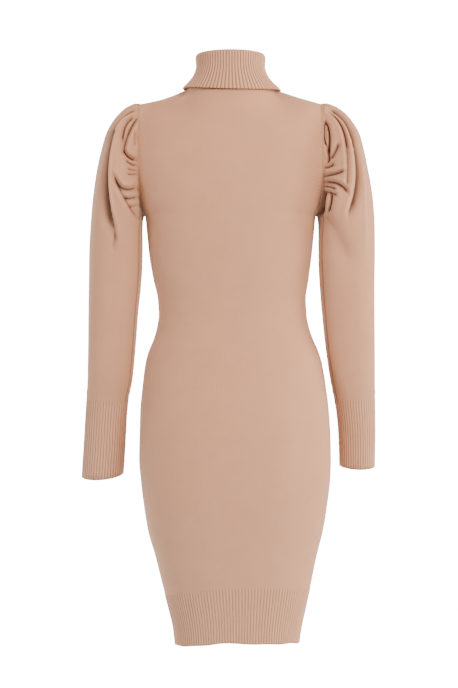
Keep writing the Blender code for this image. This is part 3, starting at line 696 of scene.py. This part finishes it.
def collar_form(turn, step):
    """Points of the roll neck by clock angle and step along the tube, with the painted shade and
    painted highlight of its ribs and a paler tone over all.
    """
    def form(turn, step):
        row = section_at(COLLAR_RINGS, "step", step)
        behind = np.sin(turn) >= 0
        depth = np.where(behind, row.back, row.front)
        height = np.where(behind, row.back_height, row.front_height)
        edge = smooth(1 - step / COLLAR_EDGE_STEPS)
        lean = COLLAR_LEAN * edge * np.cos(turn)
        z = row.side_height + (height - row.side_height) * np.sin(turn) ** 2 + lean
        flare = 1 + COLLAR_FLARE * edge * np.minimum(np.cos(turn), 0) ** 2
        return vectors(row.side * flare * np.cos(turn), depth * np.sin(turn), z) * MM

    phase = turn * COLLAR_RIBS
    rib = (np.cos(phase) - 1) * RIB_DEPTH / 2
    normals = normals_of(form, turn, step, TURN_STEP, RING_STEP)
    # Painted shade in the collar rib's furrows and painted highlight on its ridges
    furrow, pale = rib_marks(phase, 1.0, COLLAR_FURROW)
    # More painted shade deep in the furrows of the ribs
    crease = COLLAR_CREASE * ((1 - np.cos(phase)) / 2) ** COLLAR_CREASE_SHARPNESS
    points = form(turn, step) + normals * rib[..., None]
    # The whole collar is also made paler by COLLAR_PALE
    return points, {"furrow": furrow, "ridge": pale + COLLAR_PALE, "crease": crease}


def rows_through(runs):
    """Values of a form at the rows of its grid."""
    steps = [np.linspace(run.start, run.end, run.rows + 1)[1:] for run in runs]
    return np.concatenate([[runs[0].start], *steps])


def deselect():
    bpy.ops.object.select_all(action="DESELECT")


def knit_grid(name, columns, rows, fine_rows=0):
    """A flat grid in its own object, with twice the columns in its first rows."""
    deselect()
    bpy.ops.mesh.primitive_grid_add(x_subdivisions=columns, y_subdivisions=rows, size=1)
    piece = bpy.context.object
    piece.name = name
    piece.data.name = name
    if fine_rows:
        bpy.ops.object.mode_set(mode="EDIT")
        bpy.ops.mesh.select_mode(type="EDGE")
        bpy.ops.mesh.select_all(action="DESELECT")
        bpy.ops.object.mode_set(mode="OBJECT")
        corners = piece.data.vertices
        for edge in piece.data.edges:
            first, second = (corners[index].co.y for index in edge.vertices)
            level = abs(first - second) < LEVEL_TOLERANCE / rows
            edge.select = level and first + 0.5 <= (fine_rows + 0.5) / rows
        bpy.ops.object.mode_set(mode="EDIT")
        bpy.ops.mesh.subdivide(number_cuts=1, ngon=True, quadcorner="STRAIGHT_CUT")
        bpy.ops.object.mode_set(mode="OBJECT")
    return piece


def measure_cloth(piece, run, girth):
    """Lays the UV map in metres of cloth: across at the middle girth, up along the wales."""
    grid = piece.data.uv_layers[0]
    share = np.empty(len(grid.data) * 2)
    grid.data.foreach_get("uv", share)
    share = share.reshape(-1, 2)
    up = np.interp(share[:, 1], np.linspace(0, 1, len(run)), run)
    grid.data.foreach_set("uv", np.stack([share[:, 0] * girth, up], axis=1).ravel())


def lay_on_form(piece, form, run, girth, reverse=False):
    """Moves a grid's vertices on to a form given by its share across and up."""
    place = np.empty(len(piece.data.vertices) * 3)
    piece.data.vertices.foreach_get("co", place)
    across, up = (place.reshape(-1, 3)[:, axis] + 0.5 for axis in (0, 1))
    points, marks = form(across, up)
    piece.data.vertices.foreach_set("co", points.ravel())
    for mark, values in marks.items():
        layer = piece.data.attributes.new(mark, "FLOAT", "POINT")
        layer.data.foreach_set("value", np.ravel(values))
    measure_cloth(piece, run, girth)
    piece.data.update()
    bpy.ops.object.mode_set(mode="EDIT")
    bpy.ops.mesh.select_mode(type="VERT")
    bpy.ops.mesh.select_all(action="SELECT")
    bpy.ops.mesh.remove_doubles(threshold=MERGE_DISTANCE)
    if reverse:
        bpy.ops.mesh.flip_normals()
    bpy.ops.object.mode_set(mode="OBJECT")
    piece.data.shade_smooth()


def give_thickness(piece):
    """Turns the sheet into a thin shell on its inner side."""
    wall = piece.modifiers.new("wall", "SOLIDIFY")
    wall.thickness = SHELL
    wall.offset = -1
    wall.use_rim = True
    bpy.ops.object.modifier_apply(modifier=wall.name)


def spread(rows, share):
    """Values of an uneven run of rows at even shares of it."""
    return np.interp(share * (len(rows) - 1), np.arange(len(rows)), rows)


def length_along(form, rows):
    """Length of cloth from the first row to each row of a form, and its middle girth."""
    across, up = np.meshgrid(np.linspace(0, 1, GIRTH_SAMPLES), np.linspace(0, 1, len(rows)))
    points = form(across, up)[0]
    girth = np.linalg.norm(np.diff(points, axis=1), axis=2).sum(axis=1).mean()
    steps = np.linalg.norm(np.diff(points, axis=0), axis=2).mean(axis=1)
    return np.concatenate([[0], np.cumsum(steps)]), girth


def knit_piece(name, form, levels, columns, fine_rows=0, reverse=False):
    """Thin shell of knit on a form, with a row of its grid at each level."""
    piece = knit_grid(name, columns, len(levels) - 1, fine_rows)
    lay_on_form(piece, form, *length_along(form, levels), reverse)
    give_thickness(piece)
    return piece


def make_panel(face):
    name = "back_of_dress" if face == BACK else "front_of_dress"
    levels = rows_through(PANEL_RUNS)
    columns = HEM_RIBS // 2 * COLUMNS_PER_RIB // 2
    place, reached = even_spacing(face)

    def form(across, up):
        spaced = np.interp(across * 2 - 1, reached, place)
        return body_form(face, spaced, spread(levels, up))

    return knit_piece(name, form, levels, columns, PANEL_RUNS[0].rows, reverse=face == BACK)


def make_sleeve(side):
    name = "left_sleeve_cloth" if side == LEFT else "right_sleeve_cloth"
    levels = rows_through(SLEEVE_RUNS)
    columns = CUFF_RIBS * COLUMNS_PER_RIB

    def form(across, up):
        return sleeve_form(side, across * 2 * math.pi, spread(levels, up))

    return knit_piece(name, form, levels, columns, SLEEVE_RUNS[0].rows, reverse=side == LEFT)


def make_collar():
    levels = rows_through(COLLAR_RUNS)

    def form(across, up):
        return collar_form(across * 2 * math.pi, spread(levels, up))

    return knit_piece("roll_neck", form, levels, COLLAR_RIBS * COLUMNS_PER_RIB)


def linking_cord(name, line, thickness, waist):
    """A closed cord through points, which stands for linking stitches and narrows between them."""
    path = bpy.data.curves.new(name, "CURVE")
    path.dimensions = "3D"
    path.bevel_depth = thickness / 2
    path.bevel_resolution = 1
    spline = path.splines.new("POLY")
    spline.points.add(len(line) - 1)
    spline.use_cyclic_u = True
    beat = np.arange(len(line)) % POINTS_PER_STITCH
    radii = 1 - waist * np.cos(beat / POINTS_PER_STITCH * 2 * math.pi)
    for point, place, radius in zip(spline.points, line, radii):
        point.co = (*place, 1)
        point.radius = radius
    piece = bpy.data.objects.new(name, path)
    bpy.context.scene.collection.objects.link(piece)
    deselect()
    piece.select_set(True)
    bpy.context.view_layer.objects.active = piece
    bpy.ops.object.convert(target="MESH")
    piece = bpy.context.object
    piece.data.shade_smooth()
    return piece


def make_armhole_seam(side):
    """Linked seam that stands up a little between a sleeve and the panels."""
    name = "left_armhole_seam" if side == LEFT else "right_armhole_seam"
    count = ARMHOLE_STITCHES * POINTS_PER_STITCH
    line = armhole_loop(np.arange(count) / count * 2 * math.pi)
    outward = line - line.mean(axis=0)
    outward[:, 0] = 0
    line = line + unit(outward) * ARMHOLE_SEAM_OUT + np.array([SEAM_GAP / 2, 0, 0])
    line[:, 0] *= side
    return linking_cord(name, line, ARMHOLE_SEAM_THICKNESS, ARMHOLE_STITCH_WAIST)


def make_neck_seam():
    """Ring of linking stitches where the collar joins the neckline."""
    count = NECK_STITCHES * POINTS_PER_STITCH
    share = np.arange(count) / count * 2
    line = np.where(
        (share < 1)[:, None],
        top_edge(BACK, (share * 2 - 1) * NECK_SHARE),
        top_edge(FRONT, (3 - share * 2) * NECK_SHARE),
    )
    outward = line.copy()
    outward[:, 2] = 0
    line = line + unit(outward) * NECK_SEAM_OUT + np.array([0, 0, NECK_SEAM_UP])
    return linking_cord("neck_linking", line, NECK_SEAM_THICKNESS, NECK_STITCH_WAIST)


class Socket:
    """A number in a material that can be used in a sum."""

    def __init__(self, paint, output):
        self.paint = paint
        self.output = output

    def sum_of(self, operation, *numbers):
        return self.paint.node("ShaderNodeMath", {"operation": operation}, *numbers)

    def __add__(self, other):
        return self.sum_of("ADD", self, other)

    def __radd__(self, other):
        return self.sum_of("ADD", other, self)

    def __sub__(self, other):
        return self.sum_of("SUBTRACT", self, other)

    def __rsub__(self, other):
        return self.sum_of("SUBTRACT", other, self)

    def __mul__(self, other):
        return self.sum_of("MULTIPLY", self, other)

    def __rmul__(self, other):
        return self.sum_of("MULTIPLY", other, self)

    def __truediv__(self, other):
        return self.sum_of("DIVIDE", self, other)

    def __rtruediv__(self, other):
        return self.sum_of("DIVIDE", other, self)

    def fraction(self):
        return self.sum_of("FRACT", self)

    def size(self):
        return self.sum_of("ABSOLUTE", self)

    def wave(self):
        return self.sum_of("SINE", self)


class Paint:
    """Node tree of one material."""

    def __init__(self, name):
        self.material = bpy.data.materials.new(name)
        self.material.use_nodes = True
        self.tree = self.material.node_tree
        self.shader = self.tree.nodes["Principled BSDF"]

    def node(self, kind, settings, *inputs, output=0, **named):
        """Adds a node, sets it, then gives its sockets values or links."""
        made = self.tree.nodes.new(kind)
        for name, value in settings.items():
            setattr(made, name, value)
        for key, value in [*enumerate(inputs), *named.items()]:
            name = key.replace("_", " ") if isinstance(key, str) else key
            self.feed(made.inputs[name], value)
        return Socket(self, made.outputs[output])

    def feed(self, socket, value):
        if isinstance(value, Socket):
            self.tree.links.new(value.output, socket)
        else:
            socket.default_value = value

    def attribute(self, name):
        """A number that the cloth carries at each point."""
        return self.node("ShaderNodeAttribute", {"attribute_name": name}, output=2)

    def mix(self, share, first, second):
        """Colour between two colours."""
        colours = {"data_type": "RGBA"}
        return self.node("ShaderNodeMix", colours, output=2, Factor=share, A=first, B=second)

    def set(self, **named):
        for name, value in named.items():
            self.feed(self.shader.inputs[name.replace("_", " ")], value)


def weighed(layers, weights):
    """Sum of a material's layers, each times its weight."""
    return sum(layers[name] * weight for name, weight in weights.items())


def knit_material(name, yarn, shade, deep, pale):
    """Fine knit: stitches, uneven dye and a fuzzy surface, with painted shade in the hollows of
    ribs and folds and painted highlight on their tops and rolls.
    """
    paint = Paint(name)
    cloth = paint.node("ShaderNodeUVMap", {"uv_map": "UVMap"})
    across = paint.node("ShaderNodeSeparateXYZ", {}, cloth)
    up = Socket(paint, across.output.node.outputs[1])
    place = paint.node("ShaderNodeTexCoord", {}, output=3)
    cloud = paint.node("ShaderNodeTexNoise", {}, Vector=place, **DYE_NOISE)
    fluff = paint.node("ShaderNodeTexNoise", {}, Vector=place, **HEATHER_NOISE)

    leg = ((across / WALE_PITCH).fraction() - 0.5).size() * 2
    wale = (leg * (math.pi / 2)).wave()
    course = ((up / COURSE_PITCH + leg * LEG_SLANT) * (2 * math.pi)).wave()
    crease = paint.attribute("crease")
    layers = {
        "furrow": paint.attribute("furrow"),
        "crease": crease,
        "ridge": paint.attribute("ridge"),
        "shaping": paint.attribute("shaping") * (up * (2 * math.pi / SHAPING_PITCH)).wave(),
        "wale": wale,
        "stitch": (1 - wale * wale) * WALE_RELIEF + course * COURSE_RELIEF,
        "dye": cloud - 0.5,
        "heather": fluff - 0.5,
    }
    # Darker by painted shade in rib furrows and creases and by the dye, fluff, stitch and
    # fashioning tones; the deepest painted shade in creases goes on towards deep
    colour = paint.mix(weighed(layers, DARKENS), yarn, shade)
    colour = paint.mix((crease - DEEP_FROM) * DEEP_GAIN, colour, deep)
    # Paler by the fluff, a constant share and the painted highlight, held back where painted shade
    # lies
    pale_tone_and_highlight = weighed(layers, PALES) + ALWAYS_PALE
    colour = paint.mix(pale_tone_and_highlight * (1 - crease * CREASE_KEEPS_DARK), colour, pale)
    height = weighed(layers, RAISES)
    bumped = paint.node("ShaderNodeBump", {}, Strength=0.6, Distance=STITCH_RELIEF, Height=height)
    paint.set(Base_Color=colour, Roughness=0.92, Specular_IOR_Level=0.25, Normal=bumped)
    paint.set(Sheen_Weight=1.0, Sheen_Roughness=0.28, Sheen_Tint=(1.0, 0.94, 0.88, 1))
    return paint.material


def plain_material(name, colour, roughness):
    paint = Paint(name)
    paint.set(Base_Color=(*colour, 1), Roughness=roughness)
    return paint.material


# shade takes painted shade and the darker tones of the dye, fluff, stitches and fashioning marks;
# deep is the deepest painted shade; pale takes painted highlight, the paler fluff and a constant
# share
jersey = knit_material(
    "rose_beige_knit",
    yarn=(0.60, 0.375, 0.272, 1),
    shade=(0.31, 0.182, 0.148, 1),
    deep=(0.12, 0.068, 0.058, 1),
    pale=(0.715, 0.478, 0.352, 1),
)
back = make_panel(BACK)
front = make_panel(FRONT)
left_sleeve = make_sleeve(LEFT)
right_sleeve = make_sleeve(RIGHT)
collar = make_collar()
left_seam = make_armhole_seam(LEFT)
right_seam = make_armhole_seam(RIGHT)
neck_seam = make_neck_seam()
for piece in (back, front, left_sleeve, right_sleeve, collar, left_seam, right_seam, neck_seam):
    piece.data.materials.clear()
    piece.data.materials.append(jersey)
    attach(piece, "root")
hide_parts("back_panel", "hem_rib_back")
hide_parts("front_panel", "hem_rib_front")
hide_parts("sleeve_left", "cuff_left")
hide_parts("sleeve_right", "cuff_right")
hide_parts("collar")

# Studio
FLOOR_HEIGHT = -1.42
FLOOR_RADIUS = 2.2
FLOOR_SIDES = 96
CAMERA_PLACE = (0.0024, 3.2, -0.403)
SENSOR = 36.0
PICTURE_ROWS = 688
ROW_HEIGHT = 1.62 * MM
ROOM_COLOUR = (1.0, 0.745, 0.58, 1)
ROOM_STRENGTH = 0.64
BACKDROP_COLOUR = (1, 1, 1, 1)
BACKDROP_STRENGTH = 18.0
SOFTBOX_AIM = (0, 0, -0.4)
Softbox = namedtuple("Softbox", "name place size power colour")
SOFTBOXES = [
    Softbox("key_softbox", (-1.6, 2.5, 1.2), 1.1, 119, (1.0, 0.698, 0.484)),
    Softbox("fill_softbox", (2.2, 2.1, 0.8), 1.0, 40, (0.94, 0.76, 0.62)),
    Softbox("right_rim_softbox", (-2.4, -0.1, -0.1), 1.2, 60, (1.0, 0.74, 0.56)),
    Softbox("left_rim_softbox", (2.0, -1.5, -0.1), 1.2, 44, (0.98, 0.78, 0.63)),
    Softbox("white_wall", (0, -2.6, -0.3), 4.5, 130, (1.0, 0.77, 0.60)),
]


def make_floor():
    deselect()
    bpy.ops.mesh.primitive_circle_add(
        vertices=FLOOR_SIDES, radius=FLOOR_RADIUS, fill_type="NGON", location=(0, 0, FLOOR_HEIGHT)
    )
    floor = bpy.context.object
    floor.name = "studio_floor"
    floor.data.materials.append(plain_material("pale_floor", (0.66, 0.78, 0.88), 0.8))
    return floor


def place_camera():
    """Camera level behind the wearer, with the picture's height of rows in view at the dress."""
    data = bpy.data.cameras.new("camera")
    data.sensor_width = SENSOR
    data.lens = SENSOR * CAMERA_PLACE[1] / (PICTURE_ROWS * ROW_HEIGHT)
    camera = bpy.data.objects.new("camera", data)
    bpy.context.scene.collection.objects.link(camera)
    camera.location = CAMERA_PLACE
    camera.rotation_euler = (math.pi / 2, 0, math.pi)
    bpy.context.scene.camera = camera


def paint_world():
    """White backdrop for the camera, and a warm room for everything else."""
    world = bpy.data.worlds.new("studio_white")
    world.use_nodes = True
    sky = world.node_tree
    room = sky.nodes["Background"]
    room.inputs["Color"].default_value = ROOM_COLOUR
    room.inputs["Strength"].default_value = ROOM_STRENGTH
    backdrop = sky.nodes.new("ShaderNodeBackground")
    backdrop.inputs["Color"].default_value = BACKDROP_COLOUR
    backdrop.inputs["Strength"].default_value = BACKDROP_STRENGTH
    seen = sky.nodes.new("ShaderNodeLightPath")
    either = sky.nodes.new("ShaderNodeMixShader")
    sky.links.new(seen.outputs["Is Camera Ray"], either.inputs[0])
    sky.links.new(room.outputs[0], either.inputs[1])
    sky.links.new(backdrop.outputs[0], either.inputs[2])
    sky.links.new(either.outputs[0], sky.nodes["World Output"].inputs["Surface"])
    bpy.context.scene.world = world


def hang_softbox(box):
    data = bpy.data.lights.new(box.name, "AREA")
    data.size = box.size
    data.energy = box.power
    data.color = box.colour
    lamp = bpy.data.objects.new(box.name, data)
    bpy.context.scene.collection.objects.link(lamp)
    across, away, up = np.array(SOFTBOX_AIM) - np.array(box.place)
    tip = math.atan2(math.hypot(across, away), -up)
    lamp.location = box.place
    lamp.rotation_euler = (tip, 0, math.atan2(away, across) - math.pi / 2)
    lamp.visible_camera = False


floor = make_floor()
place_camera()
paint_world()
for box in SOFTBOXES:
    hang_softbox(box)
